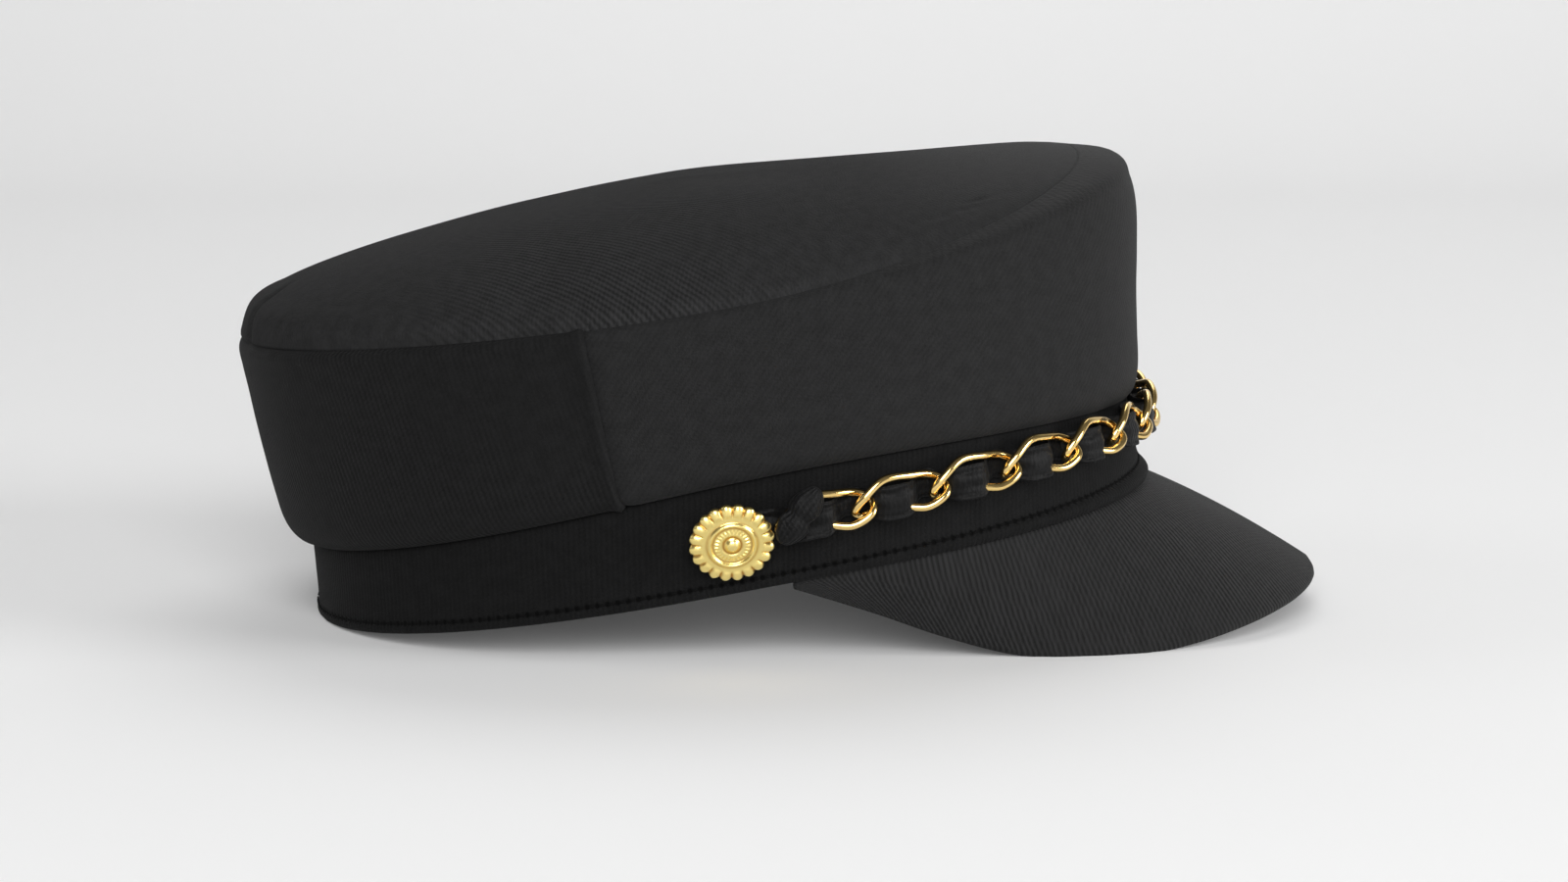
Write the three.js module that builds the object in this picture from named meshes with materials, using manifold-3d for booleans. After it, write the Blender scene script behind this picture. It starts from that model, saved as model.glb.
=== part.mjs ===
// Captain hat in black twill: a puffed crown over a straight headband, a curved peak,
// two gold buttons and a chin chain with a ribbon woven through its links.
// Millimetres, +Z up, the front of the hat toward -Y and the wearer's right toward -X.
import * as THREE from 'three';
import { mergeVertices } from 'three/addons/utils/BufferGeometryUtils.js';
import Module from 'manifold-3d';

const wasm = await Module();
wasm.setup();

const gap = 0.3; // clear space between pieces that meet
const degree = Math.PI / 180;

// Headband, measured outside from the hat's axis. Its oval is a rounded superellipse.
const bandFront = 101.4;
const bandBack = 102.6;
const bandWidth = 169;
const bandSquareness = 2.28;
const bandWall = 2.4;
const bandLean = { front: -0.4, side: 1.7, back: -1.6 }; // top edge beyond the lower edge
const bandTop = { front: 17.6, side: 24.6, back: 17.2, third: -0.75 }; // height of the upper edge
const bandDip = 3.3; // how far the lower edge dips over the peak
const bandFlare = { front: 2.0, side: 0.5, back: 0.6 }; // how far the folded edge stands out
const bandRows = [
  { up: 0, flare: 0.55 },
  { up: 0.08, flare: 1 },
  { up: 0.2, flare: 0.15 },
  { up: 0.6, flare: 0 },
  { up: 1, flare: 0 },
];

// Crown: the side wall from the headband up to the top seam, then the domed top panel.
const clothWall = 1.8;
const wallHeight = { front: 59.8, side: 40.8, back: 53.2, third: 1.2 };
const wallOverhang = { front: 9.7, side: 8.5, back: 8.5 }; // widest stand-out beyond the headband
const wallRows = [
  { up: 0, front: 0, side: 0, back: 0 },
  { up: 0.04, front: 0.24, side: 0.4, back: 0.42 },
  { up: 0.12, front: 0.4, side: 0.62, back: 0.68 },
  { up: 0.25, front: 0.51, side: 0.73, back: 0.79 },
  { up: 0.42, front: 0.66, side: 0.81, back: 0.87 },
  { up: 0.6, front: 0.86, side: 0.9, back: 0.93 },
  { up: 0.76, front: 1, side: 0.98, back: 0.96 },
  { up: 0.87, front: 0.96, side: 1.02, back: 0.99 },
  { up: 0.95, front: 0.74, side: 1.02, back: 0.98 },
  { up: 1, front: -0.3, side: 0.92, back: 0.76 },
];
const sideSeamAngle = 106.4 * degree; // from the front round to each side seam
const crownTop = 87.9; // centre of the top panel above the headband's lower edge
const domeRows = [
  { inward: 0, front: 0, side: 0, back: 0 },
  { inward: 0.03, front: 0.07, side: 0.12, back: 0.34 },
  { inward: 0.08, front: 0.16, side: 0.28, back: 0.49 },
  { inward: 0.16, front: 0.25, side: 0.48, back: 0.61 },
  { inward: 0.3, front: 0.39, side: 0.7, back: 0.735 },
  { inward: 0.55, front: 0.66, side: 0.9, back: 0.885 },
  { inward: 1, front: 1, side: 1, back: 1 },
];

// Peak: its outer edge is placed from the headband's lower edge, as shares of three sizes.
const peakHalfAngle = 83.9 * degree;
const peakForward = 41.2;
const peakSpread = 16.9;
const peakDrop = 35;
const peakWall = 3;
const peakCornerWall = 1.2;
const peakThinning = 4; // power that keeps the thinner cloth near both corners
const peakCornerDepth = 1.6; // depth of its edge at both ends
const peakBow = 0.03; // rise of its curve as a share of its width
const peakSections = [
  { at: 0, forward: 1, spread: 0, drop: 1 },
  { at: 0.107, forward: 0.94, spread: 0.4, drop: 0.985 },
  { at: 0.197, forward: 0.805, spread: 0.763, drop: 0.98 },
  { at: 0.281, forward: 0.62, spread: 0.983, drop: 0.98 },
  { at: 0.366, forward: 0.413, spread: 1, drop: 0.983 },
  { at: 0.453, forward: 0.237, spread: 0.825, drop: 0.96 },
  { at: 0.543, forward: 0.098, spread: 0.514, drop: 0.895 },
  { at: 0.639, forward: 0.027, spread: 0.144, drop: 0.77 },
  { at: 0.744, forward: 0.004, spread: -0.15, drop: 0.573 },
  { at: 0.863, forward: 0.009, spread: -0.26, drop: 0.315 },
  { at: 1, forward: 0, spread: 0, drop: 0 },
];

// Chin chain: interlocked twisted links along the headband, and the ribbon through them.
const linkCount = 16;
const endLinkSlack = 0.9; // the last link at each end sits closer to its neighbour
const linkHalfLength = 11.5;
const linkHalfWidth = 4.5;
const linkOverlap = 4.3; // between two neighbours' wires at their joint
const linkPitch = 2 * linkHalfLength - linkOverlap;
const linkRise = 1.9; // how far its twisted wire stands out from the middle plane
// One link's wire from its left tip over the top, seen from outside
const linkRows = [
  { along: -0.92, up: -0.2, out: 0.16 },
  { along: -0.68, up: 0.44, out: 1 },
  { along: -0.26, up: 1, out: 0.84 },
  { along: 0.28, up: 0.87, out: 0.11 },
  { along: 0.75, up: 0.6, out: -0.84 },
  { along: 1, up: 0.13, out: -0.53 },
  { along: 0.95, up: -0.47, out: 0.68 },
  { along: 0.54, up: -0.87, out: 0.79 },
  { along: 0.09, up: -0.64, out: 0.11 },
  { along: -0.35, up: -0.56, out: -0.63 },
  { along: -0.78, up: -0.58, out: -0.74 },
];
const wireDiameter = 1.9;
const chainHeight = { front: 13.4, side: 14.8, hump: 1.6 };
const ribbonWidth = 3.8;
const ribbonLift = 0.6; // its middle runs above the chain's, through the links' openings
const ribbonThickness = 1;
const ribbonCrown = 0.9; // how far the ribbon rises through each link
const ribbonEndShare = 1.6; // it ends this many shank radii from the middle of the button
const ribbonFlat = 3.5; // stretch on each side of a joint where it stays behind the wires
const knotSize = { length: 15, width: 7.4, thickness: 4 };
const knotAngle = 44 * degree;
const knotShift = 5.6; // from the middle of the last link toward its button
const knotLift = 1.5; // above the middle of the chain
const knotSink = { right: 0.2, left: 0.8 }; // how far each settles into its twisted link's opening

// Buttons
const buttonFromLink = 9.7; // from the end of the last link to the middle of its button
const buttonHeight = 13.0;
const buttonRadius = 9.7;
const buttonThickness = 3.2;
const buttonDroop = 20 * degree;
const buttonClearance = 1.9; // between its lower rim and the headband
const fluteCount = 20;
const fluteDepth = 0.06; // share of the radius
const shankRadius = 1.6;
const buttonRows = [
  { radius: 0.16, height: 0.92 },
  { radius: 0.22, height: 0.66 },
  { radius: 0.4, height: 0.6 },
  { radius: 0.48, height: 0.82 },
  { radius: 0.57, height: 0.6 },
  { radius: 1, height: 0.32, fluted: true },
  { radius: 0.97, height: 0, fluted: true },
];

// Rest: cloth that touches the surface is pressed flat by this much.
const restFlattening = 0.4;

// Fineness of the facets
const frontColumns = 40;
const backColumns = 26;
const peakColumns = 40;
const peakRows = 6;
const linkSides = 14;
const wireSides = 5;
const ribbonStepsPerLink = 8;
const knotSides = 10;
const knotRings = 7;
const mergeDistance = 1e-4;
const probeStep = 0.01; // share of a surface used to find its slope

// Blends front, side and back values round the oval; a third wave leans the sides forward.
function around(values, angle) {
  const forward = Math.cos(angle);
  const along = forward * forward;
  const end = forward > 0 ? values.front : (values.back ?? values.front);
  return end * along + values.side * (1 - along) + (values.third ?? 0) * Math.cos(3 * angle);
}

// Value of a table's column at a place between its rows, along a smooth curve.
function tableValue(rows, placeKey, column, place) {
  const last = rows.length - 1;
  let index = rows.findIndex((row) => row[placeKey] > place) - 1;
  if (index < 0) index = place <= rows[0][placeKey] ? 0 : last - 1;
  const slope = (k) => {
    const before = rows[Math.max(k - 1, 0)];
    const after = rows[Math.min(k + 1, last)];
    return (after[column] - before[column]) / (after[placeKey] - before[placeKey]);
  };
  const from = rows[index];
  const to = rows[index + 1];
  const span = to[placeKey] - from[placeKey];
  const t = (place - from[placeKey]) / span;
  const keep = (1 + 2 * t) * (1 - t) * (1 - t);
  return (
    from[column] * keep +
    to[column] * (1 - keep) +
    slope(index) * span * t * (1 - t) * (1 - t) -
    slope(index + 1) * span * t * t * (1 - t)
  );
}

function tableAround(rows, placeKey, place, angle) {
  return around(
    {
      front: tableValue(rows, placeKey, 'front', place),
      side: tableValue(rows, placeKey, 'side', place),
      back: tableValue(rows, placeKey, 'back', place),
    },
    angle,
  );
}

// Distance from the hat's axis to a superellipse with its own front and back reach.
function ovalRadius(oval, angle) {
  const reach = Math.cos(angle) > 0 ? oval.front : oval.back;
  const along = Math.abs(Math.cos(angle) / reach) ** bandSquareness;
  const across = Math.abs(Math.sin(angle) / oval.side) ** bandSquareness;
  return (along + across) ** (-1 / bandSquareness);
}

// Angles run from the front (-Y) toward the wearer's left (+X).
function polar(radius, angle, height) {
  return new THREE.Vector3(radius * Math.sin(angle), -radius * Math.cos(angle), height);
}

// Headband surfaces
const lowerOval = { front: bandFront, side: bandWidth / 2, back: bandBack };
const upperOval = {
  front: lowerOval.front + bandLean.front,
  side: lowerOval.side + bandLean.side,
  back: lowerOval.back + bandLean.back,
};

function bandBottom(angle) {
  return -bandDip * Math.max(Math.cos(angle), 0) ** 2;
}

function bandPoint(angle, up) {
  const bottom = bandBottom(angle);
  const height = bottom + up * (around(bandTop, angle) - bottom);
  const straight = THREE.MathUtils.lerp(ovalRadius(lowerOval, angle), ovalRadius(upperOval, angle), up);
  const flare = around(bandFlare, angle) * tableValue(bandRows, 'up', 'flare', up);
  return polar(straight + flare, angle, height);
}

// Crown surfaces
function wallPoint(angle, up) {
  const out = around(wallOverhang, angle) * tableAround(wallRows, 'up', up, angle);
  const height = around(bandTop, angle) + up * around(wallHeight, angle);
  return polar(ovalRadius(upperOval, angle) + out, angle, height);
}

function domePoint(angle, inward) {
  const seam = wallPoint(angle, 1);
  const rise = (crownTop - seam.z) * tableAround(domeRows, 'inward', inward, angle);
  return new THREE.Vector3(seam.x * (1 - inward), seam.y * (1 - inward), seam.z + rise);
}

// The wall is shares 0 to 1 of the crown's profile, and the dome is shares 1 to 2.
function crownPoint(angle, share) {
  return share <= 1 ? wallPoint(angle, share) : domePoint(angle, share - 1);
}

// Peak surface: share 0 is the outer edge and share 1 lies under the headband's edge.
function peakPoint(angle, share) {
  const at = Math.abs(angle) / peakHalfAngle;
  const side = Math.sign(angle);
  const column = (name) => tableValue(peakSections, 'at', name, Math.min(at, 1));
  const seat = ovalRadius(lowerOval, angle) - bandWall / 2;
  const inner = polar(seat, angle, bandBottom(angle) - gap);
  const edge = polar(seat, angle, 0);
  edge.x += side * peakSpread * column('spread');
  edge.y -= peakForward * column('forward');
  edge.z -= THREE.MathUtils.lerp(peakCornerDepth, peakDrop, column('drop'));
  const across = edge.clone().sub(inner);
  const along = polar(1, angle + Math.PI / 2, 0);
  const bow = new THREE.Vector3().crossVectors(across, along).setLength(across.length() * peakBow);
  const point = inner.clone().addScaledVector(across, 1 - share);
  return point.addScaledVector(bow, 4 * share * (1 - share));
}

function surfaceNormal(point, angle, share) {
  const along = point(angle + probeStep, share).sub(point(angle - probeStep, share));
  const up = point(angle, share + probeStep).sub(point(angle, share - probeStep));
  return along.cross(up).normalize();
}

function geometryFromTriangles(points, triangles) {
  const geometry = new THREE.BufferGeometry();
  const positions = new Float32Array(points.flatMap((point) => point.toArray()));
  geometry.setAttribute('position', new THREE.BufferAttribute(positions, 3));
  geometry.setIndex(triangles.flat());
  return geometry;
}

function quad(a, b, c, d) {
  return [
    [a, b, c],
    [a, c, d],
  ];
}

// A wall of cloth: an outer surface, an inner one behind it, and rims that join them.
function shellGeometry({ point, angles, shares, thickness, closed = false, pole = false }) {
  const columns = angles.length;
  const rows = shares.length;
  const points = [];
  const layerStart = [0, 0];
  for (const layer of [0, 1]) {
    layerStart[layer] = points.length;
    for (const share of shares) {
      for (const angle of angles) {
        const inset = surfaceNormal(point, angle, share).multiplyScalar(-layer * thickness(angle));
        points.push(point(angle, share).add(inset));
      }
    }
    if (pole) points.push(new THREE.Vector3(0, 0, crownTop - layer * thickness(0)));
  }
  const at = (layer, row, column) => layerStart[layer] + row * columns + (column % columns);
  const face = (...corners) => triangles.push(...quad(...corners.map((corner) => at(...corner))));
  const poleAt = (layer) => layerStart[layer] + rows * columns;
  const triangles = [];
  const spans = closed ? columns : columns - 1;
  for (let column = 0; column < spans; column += 1) {
    const next = column + 1;
    for (let row = 0; row < rows - 1; row += 1) {
      const above = row + 1;
      face([0, row, column], [0, row, next], [0, above, next], [0, above, column]);
      face([1, row, next], [1, row, column], [1, above, column], [1, above, next]);
    }
    face([1, 0, column], [1, 0, next], [0, 0, next], [0, 0, column]);
    const top = rows - 1;
    if (pole) {
      triangles.push([at(0, top, column), at(0, top, next), poleAt(0)]);
      triangles.push([at(1, top, next), at(1, top, column), poleAt(1)]);
    } else {
      face([0, top, column], [0, top, next], [1, top, next], [1, top, column]);
    }
  }
  if (!closed) {
    const end = columns - 1;
    for (let row = 0; row < rows - 1; row += 1) {
      const above = row + 1;
      face([1, row, 0], [0, row, 0], [0, above, 0], [1, above, 0]);
      face([0, row, end], [1, row, end], [1, above, end], [0, above, end]);
    }
  }
  return geometryFromTriangles(points, triangles);
}

// A body swept through rings of points: each ring is joined to the next, and the last
// one to the first when looped; otherwise both ends are faced.
function sweptGeometry(rings, looped) {
  const sides = rings[0].length;
  const points = rings.flat();
  const triangles = [];
  const at = (ring, side) => (ring % rings.length) * sides + (side % sides);
  const spans = looped ? rings.length : rings.length - 1;
  for (let ring = 0; ring < spans; ring += 1) {
    for (let side = 0; side < sides; side += 1) {
      const corners = [at(ring, side), at(ring, side + 1), at(ring + 1, side + 1), at(ring + 1, side)];
      triangles.push(...quad(...corners));
    }
  }
  if (!looped) {
    for (let side = 1; side < sides - 1; side += 1) {
      triangles.push([at(0, 0), at(0, side + 1), at(0, side)]);
      triangles.push([at(spans, 0), at(spans, side), at(spans, side + 1)]);
    }
  }
  return geometryFromTriangles(points, triangles);
}

function spread(from, to, count) {
  return Array.from({ length: count + 1 }, (_, k) => from + ((to - from) * k) / count);
}

// Half the seam gap as an angle, on the headband's side radius
const seamHalfAngle = gap / 2 / lowerOval.side;
const frontAngles = spread(-sideSeamAngle + seamHalfAngle, sideSeamAngle - seamHalfAngle, frontColumns);
const backAngles = spread(
  sideSeamAngle + seamHalfAngle,
  2 * Math.PI - sideSeamAngle - seamHalfAngle,
  backColumns,
);
const allAngles = [...frontAngles, ...backAngles];

// Shares of the crown's profile, with its rows pulled back from the seams by half the gap
const wallShares = wallRows.map((row) => row.up);
wallShares[0] = gap / 2 / wallHeight.side;
wallShares[wallShares.length - 1] = 1 - gap / 2 / wallHeight.side;
const domeShares = domeRows.slice(0, -1).map((row) => 1 + row.inward);
domeShares[0] = 1 + gap / 2 / lowerOval.side;

function topPanelGeometry() {
  return shellGeometry({
    point: crownPoint,
    angles: allAngles,
    shares: domeShares,
    thickness: () => clothWall,
    closed: true,
    pole: true,
  });
}

function sidePanelGeometry(angles) {
  return shellGeometry({ point: crownPoint, angles, shares: wallShares, thickness: () => clothWall });
}

function headbandGeometry() {
  const shares = bandRows.map((row) => row.up);
  shares[shares.length - 1] = 1 - gap / 2 / bandTop.side;
  return shellGeometry({
    point: bandPoint,
    angles: allAngles,
    shares,
    thickness: () => bandWall,
    closed: true,
  });
}

function peakGeometry() {
  return shellGeometry({
    point: peakPoint,
    angles: spread(-peakHalfAngle, peakHalfAngle, peakColumns),
    shares: spread(0, 1, peakRows),
    thickness: (angle) =>
      THREE.MathUtils.lerp(peakWall, peakCornerWall, (Math.abs(angle) / peakHalfAngle) ** peakThinning),
  });
}

// Route of the chain: a curve on the headband's surface, measured by length from the front
const routeSamples = 240;
const routeHalfAngle = 110 * degree;

function chainHeightAt(angle) {
  return around(chainHeight, angle) + chainHeight.hump * Math.sin(2 * angle) ** 2;
}

const linkDepth = linkRise * Math.max(...linkRows.map((row) => -row.out)) + wireDiameter / 2;
const chainStandOff = gap + ribbonThickness + gap + linkDepth;

function onHeadband(angle, height, standOff) {
  const up = (height - bandBottom(angle)) / (around(bandTop, angle) - bandBottom(angle));
  const surface = bandPoint(angle, up);
  const normal = surfaceNormal(bandPoint, angle, up);
  return surface.addScaledVector(normal.setZ(0).normalize(), standOff);
}

const route = spread(-routeHalfAngle, routeHalfAngle, routeSamples).map((angle) => ({
  angle,
  point: onHeadband(angle, chainHeightAt(angle), chainStandOff),
}));
let routeLength = 0;
route.forEach((stop, k) => {
  if (k > 0) routeLength += stop.point.distanceTo(route[k - 1].point);
  stop.length = routeLength;
});
const routeMiddle = routeLength / 2;

function routeAngle(distance) {
  const target = THREE.MathUtils.clamp(routeMiddle + distance, 0, routeLength);
  const k = Math.max(1, route.findIndex((stop) => stop.length >= target));
  const before = route[k - 1];
  const after = route[k];
  const t = (target - before.length) / (after.length - before.length);
  return THREE.MathUtils.lerp(before.angle, after.angle, t);
}

// A place on the chain: X runs along it toward the wearer's left, Y up and Z outward.
function routeFrame(distance, standOff = chainStandOff) {
  const place = (d) => {
    const angle = routeAngle(d);
    return onHeadband(angle, chainHeightAt(angle), standOff);
  };
  const origin = place(distance);
  const along = place(distance + 1).sub(place(distance - 1)).normalize();
  const outward = origin.clone().setZ(0).normalize();
  outward.addScaledVector(along, -outward.dot(along)).normalize();
  const up = new THREE.Vector3().crossVectors(outward, along);
  return new THREE.Matrix4().makeBasis(along, up, outward).setPosition(origin);
}

// Links run from the wearer's right round the front to the left.
function linkDistance(k) {
  const distance = (k - (linkCount - 1) / 2) * linkPitch;
  const atEnd = k === 0 || k === linkCount - 1;
  return distance - (atEnd ? Math.sign(distance) * endLinkSlack : 0);
}

const linkCurve = new THREE.CatmullRomCurve3(
  linkRows.map(
    ({ along, up, out }) => new THREE.Vector3(along * linkHalfLength, up * linkHalfWidth, out * linkRise),
  ),
  true,
  'catmullrom',
);

function linkGeometry() {
  const rings = spread(0, 1, linkSides).slice(0, -1).map((share) => {
    const centre = linkCurve.getPointAt(share);
    const tangent = linkCurve.getTangentAt(share);
    const outward = new THREE.Vector3(0, 0, 1).addScaledVector(tangent, -tangent.z).normalize();
    const side = new THREE.Vector3().crossVectors(tangent, outward);
    return spread(0, 2 * Math.PI, wireSides).slice(0, -1).map((spin) =>
      centre
        .clone()
        .addScaledVector(outward, (wireDiameter / 2) * Math.sin(spin))
        .addScaledVector(side, -(wireDiameter / 2) * Math.cos(spin)),
    );
  });
  return sweptGeometry(rings, true);
}

// The ribbon runs behind each joint of the chain and rises through each link.
const ribbonBack = -(linkDepth + gap + ribbonThickness / 2);
const buttonDistance = linkDistance(linkCount - 1) + linkHalfLength + buttonFromLink;
const ribbonHalfLength = buttonDistance - ribbonEndShare * shankRadius - gap;

function ribbonGeometry() {
  const lastJoint = (linkCount / 2 - 1) * linkPitch;
  const steps = Math.round((2 * ribbonHalfLength * ribbonStepsPerLink) / linkPitch);
  const rings = spread(-ribbonHalfLength, ribbonHalfLength, steps).map((distance) => {
    const fromMiddle = Math.abs(THREE.MathUtils.euclideanModulo(distance, linkPitch) - linkPitch / 2);
    const middle = Math.max(0, 1 - fromMiddle / (linkPitch / 2 - ribbonFlat));
    const wave = Math.abs(distance) < lastJoint ? Math.sin((Math.PI / 2) * middle) ** 2 : 0;
    const depth = ribbonBack + wave * (ribbonCrown - ribbonBack);
    const frame = routeFrame(distance);
    const corners = [
      [-ribbonWidth / 2, -ribbonThickness / 2],
      [ribbonWidth / 2, -ribbonThickness / 2],
      [ribbonWidth / 2, ribbonThickness / 2],
      [-ribbonWidth / 2, ribbonThickness / 2],
    ];
    return corners.map(([y, z]) => new THREE.Vector3(0, ribbonLift + y, depth + z).applyMatrix4(frame));
  });
  return sweptGeometry(rings, false);
}

function knotGeometry() {
  const geometry = new THREE.SphereGeometry(0.5, knotSides, knotRings);
  geometry.scale(knotSize.length, knotSize.width, knotSize.thickness);
  return geometry;
}

// Button: a fluted rim, a raised ring, a boss and a shank, turned about the local Z axis
function buttonGeometry(shankLength) {
  const columns = fluteCount * 2;
  const ring = (radius, height, fluted) =>
    spread(0, 2 * Math.PI, columns).slice(0, -1).map((turn, k) => {
      const reach = radius * (fluted && k % 2 ? 1 - fluteDepth : 1);
      return new THREE.Vector3(reach * Math.cos(turn), reach * Math.sin(turn), height);
    });
  const rings = [
    ring(shankRadius, -shankLength),
    ring(shankRadius, 0),
    ...buttonRows
      .toReversed()
      .map((row) => ring(buttonRadius * row.radius, buttonThickness * row.height, row.fluted)),
  ];
  return sweptGeometry(rings, false);
}

// Manifold cuts
function toManifold(geometry) {
  const bare = geometry.clone();
  bare.deleteAttribute('normal');
  bare.deleteAttribute('uv');
  const merged = mergeVertices(bare, mergeDistance);
  return new wasm.Manifold(
    new wasm.Mesh({
      numProp: 3,
      vertProperties: new Float32Array(merged.attributes.position.array),
      triVerts: new Uint32Array(merged.index.array),
    }),
  );
}

function fromManifold(body) {
  const mesh = body.getMesh();
  const geometry = new THREE.BufferGeometry();
  geometry.setAttribute('position', new THREE.BufferAttribute(new Float32Array(mesh.vertProperties), 3));
  geometry.setIndex(Array.from(mesh.triVerts));
  return geometry;
}

// Resting tilt: the hat leans on the back of its headband and on the sides of its peak.
const heel = bandPoint(Math.PI, 0);
const restTilt = Math.max(
  ...spread(0, peakHalfAngle, peakColumns).map((angle) => {
    const edge = peakPoint(angle, 0);
    return Math.atan2(-edge.z, heel.y - edge.y);
  }),
);

const hat = new THREE.Group();
hat.rotation.x = -restTilt;
hat.position.z = heel.y * Math.sin(restTilt) - restFlattening;
hat.updateMatrixWorld();

// Everything below the surface that the hat rests on, in the hat's own frame
function belowRest() {
  const size = 4 * (bandFront + peakForward); // well beyond the hat on every side
  const block = new THREE.BoxGeometry(size, size, size).translate(0, 0, -size / 2);
  return toManifold(block.applyMatrix4(hat.matrixWorld.clone().invert()));
}

function pressedFlat(geometry) {
  return fromManifold(toManifold(geometry).subtract(belowRest()));
}

// Materials
const twill = new THREE.MeshStandardMaterial({ color: 0x2b2b2c, roughness: 0.85, metalness: 0 });
const bandTwill = new THREE.MeshStandardMaterial({ color: 0x222223, roughness: 0.85, metalness: 0 });
const ribbonCloth = new THREE.MeshStandardMaterial({ color: 0x161617, roughness: 0.6, metalness: 0 });
const gold = new THREE.MeshStandardMaterial({ color: 0xd9b24a, roughness: 0.25, metalness: 1 });

function addPiece(name, geometry, material) {
  const mesh = new THREE.Mesh(geometry, material.clone());
  mesh.name = name;
  hat.add(mesh);
  return mesh;
}

function place(mesh, frame) {
  frame.decompose(mesh.position, mesh.quaternion, mesh.scale);
}

addPiece('top_panel', topPanelGeometry(), twill);
addPiece('front_side_panel', sidePanelGeometry(frontAngles), twill);
addPiece('back_side_panel', sidePanelGeometry(backAngles), twill);
addPiece('headband', pressedFlat(headbandGeometry()), bandTwill);
addPiece('peak', pressedFlat(peakGeometry()), twill);

// Buttons hang from their shanks, so their faces look a little downward.
const buttonStandOff = buttonRadius * Math.sin(buttonDroop) + buttonClearance;
for (const [name, side] of [['button_right', -1], ['button_left', 1]]) {
  const angle = routeAngle(side * buttonDistance);
  const shankReach = buttonStandOff - gap - shankRadius * Math.sin(buttonDroop);
  const shankLength = shankReach / Math.cos(buttonDroop);
  const button = addPiece(name, buttonGeometry(shankLength), gold);
  const centre = onHeadband(angle, buttonHeight, buttonStandOff);
  const outward = onHeadband(angle, buttonHeight, buttonStandOff + 1).sub(centre);
  const along = new THREE.Vector3(0, 0, 1).cross(outward).normalize();
  const facing = outward.applyAxisAngle(along, buttonDroop).normalize();
  const up = new THREE.Vector3().crossVectors(facing, along);
  place(button, new THREE.Matrix4().makeBasis(along, up, facing).setPosition(centre));
}

for (let k = 0; k < linkCount; k += 1) {
  const name = `chain_link_${String(k + 1).padStart(2, '0')}`;
  const link = addPiece(name, linkGeometry(), gold);
  place(link, routeFrame(linkDistance(k)));
}
addPiece('chain_ribbon', ribbonGeometry(), ribbonCloth);

// Each knot is wrapped over the outer half of the last link.
const knotDistance = linkDistance(linkCount - 1) + knotShift;
const knotOverLink = linkRise + wireDiameter / 2 + gap + knotSize.thickness / 2;
for (const [name, side, sink] of [
  ['ribbon_knot_right', -1, knotSink.right],
  ['ribbon_knot_left', 1, knotSink.left],
]) {
  const knot = addPiece(name, knotGeometry(), ribbonCloth);
  const turn = new THREE.Matrix4().makeRotationZ(side < 0 ? knotAngle : -knotAngle);
  turn.setPosition(0, knotLift, knotOverLink - sink);
  place(knot, routeFrame(side * knotDistance).multiply(turn));
}

// The origin is on the resting surface, under the middle of the hat.
hat.updateMatrixWorld();
const bounds = new THREE.Box3().setFromObject(hat, true);
hat.position.x -= (bounds.min.x + bounds.max.x) / 2;
hat.position.y -= (bounds.min.y + bounds.max.y) / 2;

export default hat;
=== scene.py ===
# Captain hat in black twill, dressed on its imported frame.
# Lengths are millimetres in the hat's own frame, where the headband's lower edge is at
# height 0, the front is toward -Y and the wearer's left toward +X.
import math

import bmesh
import bpy
import numpy as np
from mathutils import Matrix, Vector


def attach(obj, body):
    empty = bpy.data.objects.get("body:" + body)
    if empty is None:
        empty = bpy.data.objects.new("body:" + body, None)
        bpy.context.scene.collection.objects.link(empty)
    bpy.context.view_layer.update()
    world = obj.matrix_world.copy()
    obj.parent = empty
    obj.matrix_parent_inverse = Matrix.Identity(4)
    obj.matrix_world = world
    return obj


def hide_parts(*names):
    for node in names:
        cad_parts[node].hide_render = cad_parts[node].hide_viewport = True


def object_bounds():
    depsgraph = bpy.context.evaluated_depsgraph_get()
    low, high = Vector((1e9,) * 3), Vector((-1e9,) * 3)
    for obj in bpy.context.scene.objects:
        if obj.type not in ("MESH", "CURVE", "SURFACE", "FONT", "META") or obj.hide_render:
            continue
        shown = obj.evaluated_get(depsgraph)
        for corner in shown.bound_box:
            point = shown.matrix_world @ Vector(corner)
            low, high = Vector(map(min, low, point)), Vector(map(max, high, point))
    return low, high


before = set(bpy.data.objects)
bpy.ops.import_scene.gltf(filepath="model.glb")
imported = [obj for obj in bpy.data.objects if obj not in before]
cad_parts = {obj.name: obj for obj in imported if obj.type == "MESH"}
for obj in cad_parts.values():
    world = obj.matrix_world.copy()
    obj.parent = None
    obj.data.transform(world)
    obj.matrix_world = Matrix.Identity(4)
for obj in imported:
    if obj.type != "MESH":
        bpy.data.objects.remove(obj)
cad_low, cad_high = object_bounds()

DEG = math.pi / 180
MM = 0.001

# Sizes shared with the solids
gap = 0.3
lower_oval = {"front": 101.4, "side": 84.5, "back": 102.6}
band_squareness = 2.28
band_wall = 2.4
band_lean = {"front": -0.4, "side": 1.7, "back": -1.6}
band_top = {"front": 17.6, "side": 24.6, "back": 17.2, "third": -0.75}
band_dip = 3.3
band_flare = {"front": 2.0, "side": 0.5, "back": 0.6}
band_rows = {"at": (0, 0.08, 0.2, 0.6, 1), "flare": (0.55, 1, 0.15, 0, 0)}
cloth_wall = 1.8
wall_height = {"front": 59.8, "side": 40.8, "back": 53.2, "third": 1.2}
wall_overhang = {"front": 9.7, "side": 8.5, "back": 8.5}
wall_rows = {
    "at": (0, 0.04, 0.12, 0.25, 0.42, 0.6, 0.76, 0.87, 0.95, 1),
    "front": (0, 0.24, 0.4, 0.51, 0.66, 0.86, 1, 0.96, 0.74, -0.3),
    "side": (0, 0.4, 0.62, 0.73, 0.81, 0.9, 0.98, 1.02, 1.02, 0.92),
    "back": (0, 0.42, 0.68, 0.79, 0.87, 0.93, 0.96, 0.99, 0.98, 0.76),
}
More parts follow.
